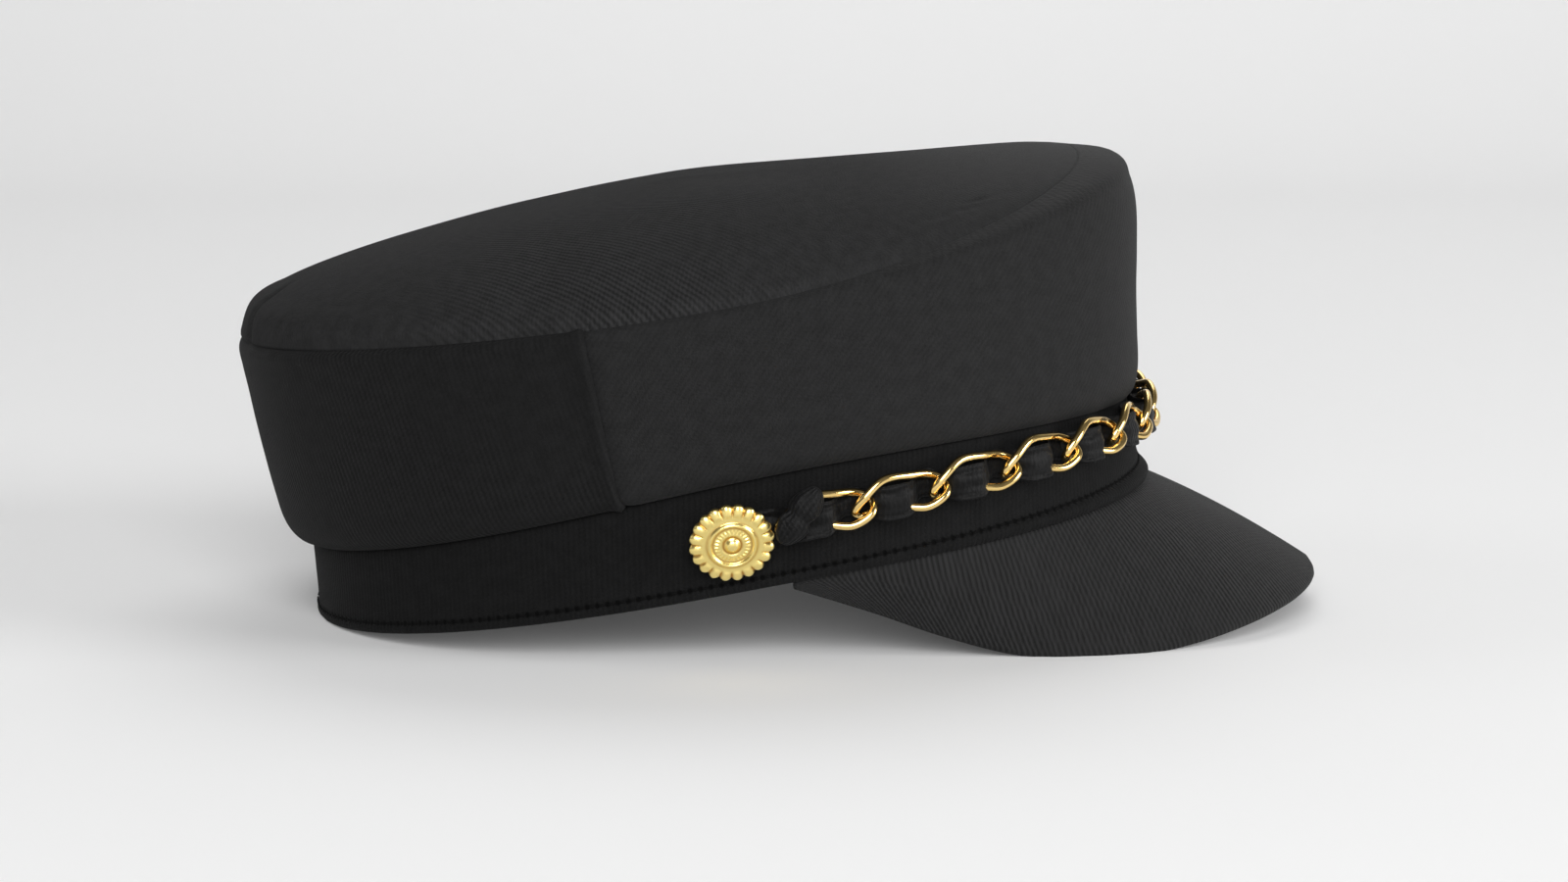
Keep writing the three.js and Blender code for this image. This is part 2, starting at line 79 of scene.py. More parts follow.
side_seam_angle = 106.4 * DEG
crown_top = 87.9
dome_rows = {
    "at": (0, 0.03, 0.08, 0.16, 0.3, 0.55, 1),
    "front": (0, 0.07, 0.16, 0.25, 0.39, 0.66, 1),
    "side": (0, 0.12, 0.28, 0.48, 0.7, 0.9, 1),
    "back": (0, 0.34, 0.49, 0.61, 0.735, 0.885, 1),
}
peak_half_angle = 83.9 * DEG
peak_forward, peak_spread, peak_drop = 41.2, 16.9, 35
peak_wall, peak_corner_wall, peak_thinning = 3, 1.2, 4
peak_corner_depth = 1.6
peak_bow = 0.03
peak_rows = {
    "at": (0, 0.107, 0.197, 0.281, 0.366, 0.453, 0.543, 0.639, 0.744, 0.863, 1),
    "forward": (1, 0.94, 0.805, 0.62, 0.413, 0.237, 0.098, 0.027, 0.004, 0.009, 0),
    "spread": (0, 0.4, 0.763, 0.983, 1, 0.825, 0.514, 0.144, -0.15, -0.26, 0),
    "drop": (1, 0.985, 0.98, 0.98, 0.983, 0.96, 0.895, 0.77, 0.573, 0.315, 0),
}
link_count, end_link_slack = 16, 0.9
link_half_length, link_half_width, link_rise, link_overlap = 11.5, 4.5, 1.9, 4.3
link_pitch = 2 * link_half_length - link_overlap
link_rows = {
    "along": (-0.92, -0.68, -0.26, 0.28, 0.75, 1, 0.95, 0.54, 0.09, -0.35, -0.78),
    "up": (-0.2, 0.44, 1, 0.87, 0.6, 0.13, -0.47, -0.87, -0.64, -0.56, -0.58),
    "out": (0.16, 1, 0.84, 0.11, -0.84, -0.53, 0.68, 0.79, 0.11, -0.63, -0.74),
}
wire_diameter = 1.9
chain_height = {"front": 13.4, "side": 14.8}
chain_hump = 1.6
ribbon_thickness = 1
knot_size, knot_angle, knot_shift, knot_lift = (15, 7.4, 4), 44 * DEG, 5.6, 1.5
knot_sink = {"right": 0.2, "left": 0.8}
button_from_link = 9.7
button_height, button_radius, button_thickness = 13.0, 9.7, 3.2
button_droop, button_clearance = 20 * DEG, 1.9
flute_count, flute_depth = 20, 0.06
shank_radius = 1.6
rest_flattening = 0.4
probe = 0.01


# Surfaces
def around(values, angle):
    forward = np.cos(angle)
    along = forward**2
    end = np.where(forward > 0, values["front"], values.get("back", values["front"]))
    third = values.get("third", 0) * np.cos(3 * angle)
    return end * along + values["side"] * (1 - along) + third


def table_value(rows, column, place):
    xs, ys = np.array(rows["at"], float), np.array(rows[column], float)
    last = len(xs) - 1
    before, after = np.maximum(np.arange(last + 1) - 1, 0), np.minimum(np.arange(last + 1) + 1, last)
    slopes = (ys[after] - ys[before]) / (xs[after] - xs[before])
    k = np.clip(np.searchsorted(xs, place, side="right") - 1, 0, last - 1)
    span = xs[k + 1] - xs[k]
    t = (place - xs[k]) / span
    keep = (1 + 2 * t) * (1 - t) ** 2
    curve = ys[k] * keep + ys[k + 1] * (1 - keep)
    return curve + span * t * (1 - t) * (slopes[k] * (1 - t) - slopes[k + 1] * t)


def table_around(rows, place, angle):
    return around({name: table_value(rows, name, place) for name in ("front", "side", "back")}, angle)


def oval_radius(oval, angle):
    reach = np.where(np.cos(angle) > 0, oval["front"], oval["back"])
    along = np.abs(np.cos(angle) / reach) ** band_squareness
    across = np.abs(np.sin(angle) / oval["side"]) ** band_squareness
    return (along + across) ** (-1 / band_squareness)


def stacked(x, y, z):
    return np.stack(np.broadcast_arrays(x, y, z), -1).astype(float)


def polar(radius, angle, height):
    return stacked(radius * np.sin(angle), -radius * np.cos(angle), height)


upper_oval = {key: lower_oval[key] + band_lean[key] for key in lower_oval}


def band_bottom(angle):
    return -band_dip * np.maximum(np.cos(angle), 0) ** 2


def band_point(angle, up):
    bottom = band_bottom(angle)
    height = bottom + up * (around(band_top, angle) - bottom)
    straight = oval_radius(lower_oval, angle) * (1 - up) + oval_radius(upper_oval, angle) * up
    return polar(straight + around(band_flare, angle) * table_value(band_rows, "flare", up), angle, height)


def crown_point(angle, share):
    up = np.minimum(share, 1)
    out = around(wall_overhang, angle) * table_around(wall_rows, up, angle)
    height = around(band_top, angle) + up * around(wall_height, angle)
    wall = polar(oval_radius(upper_oval, angle) + out, angle, height)
    inward = np.maximum(share - 1, 0)
    rise = (crown_top - height) * table_around(dome_rows, inward, angle)
    keep = 1 - inward
    return stacked(wall[..., 0] * keep, wall[..., 1] * keep, height + np.where(inward > 0, rise, 0))


def peak_point(angle, share):
    at = np.minimum(np.abs(angle) / peak_half_angle, 1)
    seat = oval_radius(lower_oval, angle) - band_wall / 2
    inner = polar(seat, angle, band_bottom(angle) - gap)
    drop = peak_corner_depth + (peak_drop - peak_corner_depth) * table_value(peak_rows, "drop", at)
    edge = polar(seat, angle, -drop)
    edge[..., 0] += np.sign(angle) * peak_spread * table_value(peak_rows, "spread", at)
    edge[..., 1] -= peak_forward * table_value(peak_rows, "forward", at)
    across = edge - inner
    bow = unit(np.cross(across, polar(1, angle + math.pi / 2, 0)))
    width = np.linalg.norm(across, axis=-1, keepdims=True)
    share = np.asarray(share, float)[..., None]
    return inner + across * (1 - share) + bow * width * peak_bow * 4 * share * (1 - share)


def unit(vectors):
    return vectors / np.linalg.norm(vectors, axis=-1, keepdims=True)


def surface_normal(point, angle, share):
    along = point(angle + probe, share) - point(angle - probe, share)
    up = point(angle, share + probe) - point(angle, share - probe)
    return unit(np.cross(along, up))


# Place of the hat: it leans on the back of its headband and on the sides of its peak.
heel = band_point(math.pi, 0.0)
rest_samples = peak_point(np.linspace(0, peak_half_angle, 41), np.zeros(41))
rest_tilt = np.arctan2(-rest_samples[:, 2], heel[1] - rest_samples[:, 1]).max()
turn = np.array(Matrix.Rotation(-rest_tilt, 3, "X"))
front_edge = peak_point(0.0, 0.0) @ turn.T
front_edge_back = (peak_point(0.0, 0.0) - peak_wall * surface_normal(peak_point, 0.0, 0.0)) @ turn.T
place_y = cad_low.y / MM - min(front_edge[1], front_edge_back[1])
place_z = heel[1] * math.sin(rest_tilt) - rest_flattening
to_row = Matrix.Translation((0, place_y * MM, place_z * MM)) @ Matrix.Rotation(-rest_tilt, 4, "X")
to_row = to_row @ Matrix.Scale(MM, 4)


def placed(points):
    rows = np.array(to_row)
    return points @ rows[:3, :3].T + rows[:3, 3]


# Meshes
def add_mesh(name, points, faces, body_uv, material, replaced, press=False):
    points = placed(np.asarray(points, float).reshape(-1, 3))
    if press:
        points[:, 2] = np.maximum(points[:, 2], 0)
    mesh = bpy.data.meshes.new(name)
    mesh.from_pydata(points.tolist(), [], faces)
    if body_uv is not None:
        layer = mesh.uv_layers.new(name="UVMap")
        corners = np.zeros(len(mesh.loops), np.int32)
        mesh.loops.foreach_get("vertex_index", corners)
        layer.data.foreach_set("uv", np.asarray(body_uv, np.float32).reshape(-1, 2)[corners].ravel())
    shaped = bmesh.new()
    shaped.from_mesh(mesh)
    bmesh.ops.remove_doubles(shaped, verts=shaped.verts, dist=1e-7)
    bmesh.ops.recalc_face_normals(shaped, faces=shaped.faces)
    for face in shaped.faces:
        face.smooth = True
    shaped.to_mesh(mesh)
    shaped.free()
    piece = bpy.data.objects.new(name, mesh)
    bpy.context.scene.collection.objects.link(piece)
    piece.data.materials.append(material)
    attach(piece, "root")
    if replaced:
        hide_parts(*replaced)
    return piece


def grid_faces(rows, columns, loop_rows, loop_columns):
    row, column = np.meshgrid(
        np.arange(rows if loop_rows else rows - 1),
        np.arange(columns if loop_columns else columns - 1),
        indexing="ij",
    )
    above, beside = (row + 1) % rows, (column + 1) % columns
    corners = ((row, column), (row, beside), (above, beside), (above, column))
    return np.stack([at * columns + across for at, across in corners], -1).reshape(-1, 4).tolist()


rim_steps = 5


def cloth(name, point, angles, shares, thickness, uv, material, node,
          lift=None, closed=False, pole=False, press=False):
    """A wall of cloth with rounded rims; lift raises its face along the normal.

    closed joins it round the head, pole closes it at the middle of the top, and press flattens
    it on the surface below."""
    angle, share = np.meshgrid(angles, shares)
    normal = surface_normal(point, angle, share)
    if pole:
        normal[-1] = (0, 0, 1)
    surface = point(angle, share)
    thick = (thickness(angle) if callable(thickness) else np.full(angle.shape, thickness))[..., None]
    raised = lift(angle, share)[..., None] if lift else 0
    outer = surface + normal * raised
    inner = surface - normal * thick
    if pole:
        outer[-1] = outer[-1].mean(0)
        inner[-1] = inner[-1].mean(0)
    flat = uv(angle, share)

    def rim(row, outward):
        middle = (outer[row] + inner[row]) / 2
        half = (outer[row] - inner[row]) / 2
        reach = np.linalg.norm(half, axis=-1, keepdims=True)
        side = unit(outward - half * (outward * half).sum(-1, keepdims=True) / reach**2) * reach
        turns = [math.pi * (k + 1) / (rim_steps + 1) for k in range(rim_steps)]
        return [middle + half * math.cos(t) + side * math.sin(t) for t in turns]

    rows, flats = list(outer), list(flat)
    if not pole:
        top = rim(-1, surface[-1] - surface[-2])
        rows += top
        flats += [flat[-1]] * len(top)
    bottom = rim(0, surface[0] - surface[1])
    if pole:
        rows = rows[::-1] + bottom + list(inner)
        flats = flats[::-1] + [flat[0]] * len(bottom) + list(flat)
    else:
        rows += list(inner[::-1]) + bottom[::-1]
        flats += list(flat[::-1]) + [flat[0]] * len(bottom)
    count = len(angles)
    faces = grid_faces(len(rows), count, not pole, closed)
    if not closed:
        for column in (0, count - 1):
            size = len(shares)
            faces += [
                [r * count + column for r in (k, k + 1, back - 1, back)]
                for k, back in ((k, 2 * size + rim_steps - 1 - k) for k in range(size - 1))
            ]
            faces.append([r * count + column for r in range(size - 1, size + rim_steps + 1)])
            under = list(range(2 * size + rim_steps - 1, len(rows))) + [0]
            faces.append([r * count + column for r in under])
    return add_mesh(name, rows, faces, flats, material, [node], press)


def swept(name, rings, loop, material, replaced, uv=None, frame_matrix=None):
    rings = np.asarray(rings, float)
    if frame_matrix is not None:
        rings = rings @ frame_matrix[:3, :3].T + frame_matrix[:3, 3]
    count, sides = rings.shape[:2]
    faces = grid_faces(count, sides, loop, True)
    if not loop:
        faces += [list(range(sides))[::-1], list(range((count - 1) * sides, count * sides))]
    return add_mesh(name, rings, faces, uv, material, replaced)


# Materials
class Nodes:
    """Shader nodes with short calls; arguments are numbers or sockets."""

    def __init__(self, name):
        self.material = bpy.data.materials.new(name)
        self.material.use_nodes = True
        self.tree = self.material.node_tree
        self.shader = self.tree.nodes["Principled BSDF"]

    def set(self, **values):
        for key, value in values.items():
            self.plug(value, self.shader.inputs[key.replace("_", " ")])
        return self

    def plug(self, value, socket):
        if isinstance(value, bpy.types.NodeSocket):
            self.tree.links.new(value, socket)
        else:
            socket.default_value = value

    def make(self, kind, output=0, inputs=(), **settings):
        node = self.tree.nodes.new(kind)
        for key, value in settings.items():
            setattr(node, key, value)
        for key, value in dict(inputs).items():
            self.plug(value, node.inputs[key])
        return node.outputs[output]

    def math(self, operation, a, b=0.0, c=0.0):
        return self.make("ShaderNodeMath", inputs={0: a, 1: b, 2: c}, operation=operation)

    def range(self, value, low, high, to_low, to_high):
        inputs = {0: value, 1: low, 2: high, 3: to_low, 4: to_high}
        return self.make("ShaderNodeMapRange", inputs=inputs, interpolation_type="SMOOTHSTEP")


rib_period, thread_period, patch_scale = 1.25, 0.9, 0.022
sheen_per_tone, specular_per_tone = 2.4, 13
weave_depth = 0.0004


def twill(name, tone, rib_angle, roughness=0.85, ribs=1.0, patches=0.0, gloss=1.0, hole_pitch=0, front=None):
    """Ribs of thread on the cloth's own flat coordinates, in millimetres.

    patches fades the ribs in places, and hole_pitch spaces needle holes along the line v = 0.
    front turns the cloth, between two places along v, into the tone and gloss of its neighbour."""
    n = Nodes(name)
    flat = n.make("ShaderNodeUVMap", uv_map="UVMap")
    rotated = n.make(
        "ShaderNodeMapping",
        inputs={0: flat, "Rotation": (0, 0, -rib_angle), "Scale": (1 / rib_period,) * 3},
        vector_type="POINT",
    )
    split = n.make("ShaderNodeSeparateXYZ", inputs={0: rotated}).node
    along, across = split.outputs[0], split.outputs[1]
    wobble = n.make("ShaderNodeTexNoise", inputs={0: rotated, "Scale": 0.35, "Detail": 3.0})
    across = n.math("ADD", across, n.math("MULTIPLY", wobble, 0.5))
    rib = n.math("SINE", n.math("MULTIPLY", across, 2 * math.pi))
    slip = n.math("MULTIPLY", across, 0.5)
    thread = n.math("SINE", n.math("MULTIPLY", n.math("ADD", along, slip), 2 * math.pi / thread_period))
    grain = n.make("ShaderNodeTexNoise", inputs={0: rotated, "Scale": 2.6, "Detail": 2.0})
    patch = n.make("ShaderNodeTexNoise", inputs={0: flat, "Scale": patch_scale, "Detail": 2.0})
    strength = n.range(patch, 0.38, 0.62, ribs * (1 - patches), ribs)
    across_flat, along_flat = n.make("ShaderNodeSeparateXYZ", inputs={0: flat}).node.outputs[:2]
    if front:
        from_ribs = n.math("ABSOLUTE", n.math("SUBTRACT", along_flat, front["rib_centre"]))
        strength = n.math("MULTIPLY", strength, n.range(from_ribs, 15, front["rib_reach"], 1.0, 0.1))
    weave = n.math("MULTIPLY_ADD", rib, 0.36, n.math("MULTIPLY", thread, 0.14))
    height = n.math("MULTIPLY_ADD", weave, strength, grain)
    # The ribs and threads are painted darker in their low places, as shade beside the bump; patch and mottle
    # vary the tone at random.
    shade = n.range(height, -0.1, 1.1, 0.0, 1.0)
    mottle = n.make("ShaderNodeTexNoise", inputs={0: flat, "Scale": 0.33, "Detail": 3.0})
    shade = n.math("MULTIPLY_ADD", patch, 0.2, n.math("MULTIPLY", shade, 0.85))
    shade = n.math("ADD", shade, n.range(mottle, 0.3, 0.7, -0.16, 0.16))
    dark, light = (tone * 0.6,) * 3, (tone * 1.35, tone * 1.35, tone * 1.38)
    inputs = {0: shade, 6: (*dark, 1), 7: (*light, 1)}
    mixed = n.make("ShaderNodeMix", output=2, inputs=inputs, data_type="RGBA")
    if hole_pitch:
        holes = n.math("PINGPONG", n.math("DIVIDE", across_flat, hole_pitch), 0.5)
        holes = n.math("MULTIPLY", holes, hole_pitch)
        squares = n.math("MULTIPLY_ADD", holes, holes, n.math("MULTIPLY", along_flat, along_flat))
        open_cloth = n.range(n.math("SQRT", squares), 0.35, 0.85, 0.12, 1.0)
        inputs = {0: 1.0, 6: mixed, 7: open_cloth}
        mixed = n.make("ShaderNodeMix", output=2, inputs=inputs, data_type="RGBA", blend_type="MULTIPLY")
        height = n.math("ADD", height, n.math("MULTIPLY", open_cloth, 2.0))
    sheen, specular = tone * sheen_per_tone * gloss, tone * specular_per_tone * gloss
    if front:
        start, end, front_tone, front_gloss = (front[key] for key in ("start", "end", "tone", "gloss"))
        inputs = {0: 1.0, 6: mixed, 7: n.range(along_flat, start, end, 1.0, front_tone / tone)}
        mixed = n.make("ShaderNodeMix", output=2, inputs=inputs, data_type="RGBA", blend_type="MULTIPLY")
        sheen = n.range(along_flat, start, end, sheen, front_tone * sheen_per_tone * front_gloss)
        specular = n.range(along_flat, start, end, specular, front_tone * specular_per_tone * front_gloss)
    relief = n.make("ShaderNodeBump", inputs={"Strength": 0.5, "Distance": weave_depth, "Height": height})
    n.set(Base_Color=mixed, Roughness=roughness, Normal=relief)
    n.set(Sheen_Weight=sheen, Sheen_Roughness=0.5, Specular_IOR_Level=specular)
    return n.material


def metal(name, color, roughness, hollow_shade_color=None):
    """The second colour is painted shade: it darkens the metal where the mesh's own u coordinate is near 1.
    """
    n = Nodes(name)
    n.set(Metallic=1.0, Roughness=roughness)
    if hollow_shade_color is None:
        n.set(Base_Color=(*color, 1))
        return n.material
    place = n.make("ShaderNodeUVMap", uv_map="UVMap")
    hollow_shade = n.make("ShaderNodeSeparateXYZ", inputs={0: place})
    inputs = {0: hollow_shade, 6: (*color, 1), 7: (*hollow_shade_color, 1)}
    n.set(Base_Color=n.make("ShaderNodeMix", output=2, inputs=inputs, data_type="RGBA"))
    point = n.make("ShaderNodeTexCoord", output=3)
    speck = n.make("ShaderNodeTexNoise", inputs={0: point, "Scale": 900.0, "Detail": 2.0})
    inputs = {"Strength": 0.3, "Distance": 0.0002, "Height": speck}
    n.set(Normal=n.make("ShaderNodeBump", inputs=inputs))
    return n.material


hole_pitch = 2.4
# The crown's panels, the peak and the headband are one black twill, with its tone painted per panel as light
# and shade: the top is painted lighter, the back panel darker than the front, and the headband darker,
# partly as shade under the crown. Toward the front, the top fades into the front panel's tone and gloss.
front_look = {"start": -35, "end": -95, "tone": 0.0108, "gloss": 0.9, "rib_centre": 20, "rib_reach": 52}
front_twill = twill("front_twill", front_look["tone"], 48 * DEG, ribs=0.3, gloss=front_look["gloss"])
back_twill_painted_shade = twill("back_twill_painted_shade", 0.0072, 96 * DEG, ribs=0.9, patches=0.8)
top_twill_painted_light = twill("top_twill_painted_light", 0.0185, 42 * DEG, ribs=1.3, patches=0.7, gloss=0.15, front=front_look)
band_twill = twill("band_twill", 0.0056, 80 * DEG, ribs=0.4, hole_pitch=hole_pitch)
peak_twill = twill("peak_twill", 0.0113, 32 * DEG, ribs=2.2, patches=0.5)
ribbon_cloth = twill("ribbon_cloth", 0.006, 0, roughness=0.45)
thread = Nodes("thread").set(Base_Color=(0.003, 0.003, 0.003, 1), Roughness=0.9).material
thread.node_tree.nodes["Principled BSDF"].inputs["Specular IOR Level"].default_value = 0.08
gold = metal("gold", (0.9, 0.64, 0.25), 0.16)
# Painted shade: the button is coloured darker brown between its flutes and in its ring grooves.
button_gold = metal("button_gold", (1.0, 0.80, 0.29), 0.3, hollow_shade_color=(0.5, 0.25, 0.05))

# Crown: the soft creases of its top panel, where turn is the direction across each one
top_creases = [
    {"x": -74, "y": 34, "turn": 62 * DEG, "width": 7, "length": 16, "depth": -0.8},
    {"x": -80, "y": 20, "turn": 80 * DEG, "width": 9, "length": 12, "depth": 0.3},
    {"x": -67, "y": -63, "turn": 25 * DEG, "width": 1.1, "length": 4, "depth": -0.4},
    {"x": -62, "y": -67, "turn": 30 * DEG, "width": 1.0, "length": 4, "depth": -0.35},
    {"x": -71, "y": -57, "turn": 20 * DEG, "width": 1.0, "length": 3, "depth": -0.25},
    {"x": 10, "y": -20, "turn": 20 * DEG, "width": 30, "length": 40, "depth": -0.5},
    {"x": 60, "y": 40, "turn": 120 * DEG, "width": 8, "length": 18, "depth": -0.7},
]
back_fold = {"angle": -165 * DEG, "lean": -0.75 * DEG, "length": 11, "width": 1.8, "depth": 1.9}
back_filling = {"height": 1.2, "reach": 5}
seam_half_angle = gap / 2 / lower_oval["side"]
columns_per_turn = 480


def spread_angles(start, end):
    count = max(2, int(round(columns_per_turn * (end - start) / (2 * math.pi))))
    return np.linspace(start, end, count + 1)


seam_lap = 0.018
front_angles = spread_angles(-side_seam_angle - seam_lap, side_seam_angle + seam_lap)
back_start = side_seam_angle + seam_half_angle
back_angles = spread_angles(back_start, 2 * math.pi - back_start)
all_angles = np.linspace(-math.pi, math.pi, columns_per_turn + 1)[:-1]


def arc_length(angle):
    steps = np.linspace(-math.pi, 2 * math.pi, 3001)
    ring = polar(oval_radius(upper_oval, steps), steps, 0)
    lengths = np.concatenate([[0], np.cumsum(np.linalg.norm(np.diff(ring, axis=0), axis=1))])
    return np.interp(angle, steps, lengths) - np.interp(0, steps, lengths)


def hump(distance, centre, width):
    return np.exp(-(((distance - centre) / width) ** 2))


def rearward(angle):
    """0 at the front and 1 at the back."""
    return 0.5 - 0.5 * np.cos(angle)


def seam_relief(distance, angle):
    """The cloth sinks at the top seam and swells a little beside it."""
    strength = np.clip(1.5 * rearward(angle), 0, 1) * (1 - 0.9 * hump(np.cos(angle), -1, 0.06))
    pucker = 1 + 0.35 * np.sin(angle * 71) * np.sin(angle * 23 + 1)
    return strength * (0.26 * pucker * hump(distance, 2.2, 1.2) - 1.0 * hump(distance, 0, 0.9))


def wall_lift(angle, share):
    return seam_relief((1 - share) * around(wall_height, angle), angle)


crown_spread = 1.1


def past_side_seam(angle):
    """Millimetres toward the back from the nearer side seam."""
    wrapped = np.abs((angle + math.pi) % (2 * math.pi) - math.pi)
    return (wrapped - side_seam_angle) * lower_oval["side"] * crown_spread


def front_lift(angle, share):
    past = past_side_seam(angle)
    return wall_lift(angle, share) - 0.35 * hump(past, 0, 1.6) - 0.9 * np.clip(past / 1.2, 0, 1)


def back_lift(angle, share):
    past = past_side_seam(angle)
    edge = np.clip(past / 0.7, 0, 1)
    return wall_lift(angle, share) + 0.8 * hump(past, 1.3, 1.3) - 0.7 * (1 - edge) ** 2


def crease(row, x, y):
    right, back = x - row["x"], y - row["y"]
    across = right * math.cos(row["turn"]) + back * math.sin(row["turn"])
    along = back * math.cos(row["turn"]) - right * math.sin(row["turn"])
    return row["depth"] * hump(across, 0, row["width"]) * hump(along, 0, row["length"])


def top_lift(angle, share):
    inward = (share - 1) * oval_radius(upper_oval, angle)
    x, y = np.moveaxis(crown_point(angle, share)[..., :2], -1, 0)
    creases = sum(crease(row, x, y) for row in top_creases)
    fold_angle = back_fold["angle"] + back_fold["lean"] * inward
    fold = hump((angle - fold_angle) * oval_radius(upper_oval, angle), 0, back_fold["width"])
    fold = fold * hump(inward, back_fold["length"] / 2, back_fold["length"] / 2)
    filling = back_filling["height"] * hump(np.cos(angle), -1, 0.2) * hump(inward, 0, back_filling["reach"])
    return seam_relief(inward, angle) + filling + creases - back_fold["depth"] * fold


def wall_uv(angle, share):
    return np.stack([arc_length(angle), share * around(wall_height, angle)], -1)


def top_uv(angle, share):
    return crown_point(angle, share)[..., :2]


def shares_between(start, end, count, crowd=1.6):
    """More rows near both ends, where the seams are."""
    t = np.linspace(-1, 1, count)
    return start + (end - start) * (0.5 + 0.5 * np.sign(t) * (1 - (1 - np.abs(t)) ** crowd))


seam_share = gap / 2 / wall_height["side"]
wall_shares = shares_between(0.012, 1 - seam_share, 62)
cloth("front_side_cloth", crown_point, front_angles, wall_shares, cloth_wall, wall_uv, front_twill,
      "front_side_panel", lift=front_lift)
cloth("back_side_cloth", crown_point, back_angles, wall_shares, cloth_wall, wall_uv, back_twill_painted_shade,
      "back_side_panel", lift=back_lift)
top_start = gap / 2 / lower_oval["side"]
top_shares = 1 + np.concatenate([np.linspace(top_start, 0.12, 30), np.linspace(0.12, 1, 40)[1:]])
cloth("top_cloth", crown_point, all_angles, top_shares, cloth_wall, top_uv, top_twill_painted_light,
      "top_panel", lift=top_lift, closed=True, pole=True)

# Headband
stitch_length, stitch_width, stitch_stand_off = 1.5, 0.55, 0.02
stitch_sides, stitch_loops = 8, 7
stitch_rise = {"front": 4.6, "side": 2.4, "back": 2.2}


def above_stitches(angle, share):
    return share * (around(band_top, angle) - band_bottom(angle)) - around(stitch_rise, angle)


def band_uv(angle, share):
    return np.stack([arc_length(angle), above_stitches(angle, share)], -1)


def band_lift(angle, share):
    above = above_stitches(angle, share)
    return -0.35 * hump(above, 0, 0.8) + 0.12 * hump(above, -1.6, 0.9)


band_shares = shares_between(0.03, 1 - gap / 2 / band_top["side"] - 0.02, 56, crowd=1.3)
cloth("headband_cloth", band_point, all_angles, band_shares, band_wall, band_uv, band_twill,
      "headband", lift=band_lift, closed=True, press=True)


# Stitches along the headband's lower edge, higher where they hold the peak
def stitch_line(angle):
    height = band_bottom(angle) + around(stitch_rise, angle)
    up = (height - band_bottom(angle)) / (around(band_top, angle) - band_bottom(angle))
    return band_point(angle, up), surface_normal(band_point, angle, up)


def add_stitches():
    fine = np.linspace(-math.pi, math.pi, 4001)
    path, normals = stitch_line(fine)
    lengths = arc_length(fine)
    turns = np.linspace(0, 2 * math.pi, stitch_sides, endpoint=False)
    bends = np.linspace(0, math.pi, stitch_loops)
    holes = np.arange(math.ceil(lengths[0] / hole_pitch), lengths[-1] / hole_pitch) * hole_pitch
    points, faces = [], []
    for middle in holes + hole_pitch / 2:
        centre, tip, out = (
            np.array([np.interp(at, lengths, values[:, k]) for k in range(3)])
            for at, values in ((middle, path), (middle + 0.5, path), (middle, normals))
        )
        along = unit(tip - centre)
        side = np.cross(out, along)
        start = len(points) * stitch_loops * stitch_sides
        across = np.cos(turns)[:, None] * side + 0.7 * np.sin(turns)[:, None] * out
        centre = centre + out * stitch_stand_off
        rings = [
            centre - along * math.cos(b) * stitch_length / 2 + across * math.sin(b) * stitch_width / 2
            for b in bends
        ]
        points.append(np.array(rings).reshape(-1, 3))
        faces += (np.array(grid_faces(stitch_loops, stitch_sides, False, True)) + start).tolist()
    add_mesh("headband_stitches", np.concatenate(points), faces, None, thread, [])


add_stitches()


# Peak
def peak_thickness(angle):
    return peak_wall + (peak_corner_wall - peak_wall) * (np.abs(angle) / peak_half_angle) ** peak_thinning


def peak_uv(angle, share):
    points = peak_point(angle, share)
    steps = np.diff(points[..., [0, 2]], axis=1)
    lengths = np.cumsum(np.linalg.norm(steps, axis=-1), axis=1)
    lengths = np.concatenate([np.zeros((len(lengths), 1)), lengths], axis=1)
    middle = lengths[:, lengths.shape[1] // 2][:, None]
    return np.stack([lengths - middle, points[..., 1]], -1)


peak_angles = np.linspace(-peak_half_angle, peak_half_angle, 301)
cloth("peak_cloth", peak_point, peak_angles, shares_between(0.03, 0.99, 60), peak_thickness, peak_uv,
      peak_twill, "peak", press=True)


# Route of the chain
def on_headband(angle, height, stand_off):
    bottom = band_bottom(angle)
    up = (height - bottom) / (around(band_top, angle) - bottom)
    normal = surface_normal(band_point, angle, up)
    normal[..., 2] = 0
    return band_point(angle, up) + unit(normal) * stand_off


def chain_height_at(angle):
    return around(chain_height, angle) + chain_hump * np.sin(2 * angle) ** 2


link_depth = -link_rise * min(link_rows["out"]) + wire_diameter / 2
chain_stand_off = gap + ribbon_thickness + gap + link_depth
route_angles = np.linspace(-110 * DEG, 110 * DEG, 241)
route = on_headband(route_angles, chain_height_at(route_angles), chain_stand_off)
route_lengths = np.concatenate([[0], np.cumsum(np.linalg.norm(np.diff(route, axis=0), axis=1))])
route_lengths -= route_lengths[-1] / 2


def route_frame(distance):
    """A frame on the route: its axes point along it, up and outward."""
    angles = np.interp([distance - 1, distance, distance + 1], route_lengths, route_angles)
    behind, origin, ahead = on_headband(angles, chain_height_at(angles), chain_stand_off)
    along = unit(ahead - behind)
    outward = unit(origin * (1, 1, 0))
    outward = unit(outward - along * np.dot(outward, along))
    matrix = np.eye(4)
    matrix[:3, 0], matrix[:3, 1], matrix[:3, 2] = along, np.cross(outward, along), outward
    matrix[:3, 3] = origin
    return matrix


def rounded_power(value, power):
    return np.sign(value) * np.abs(value) ** power


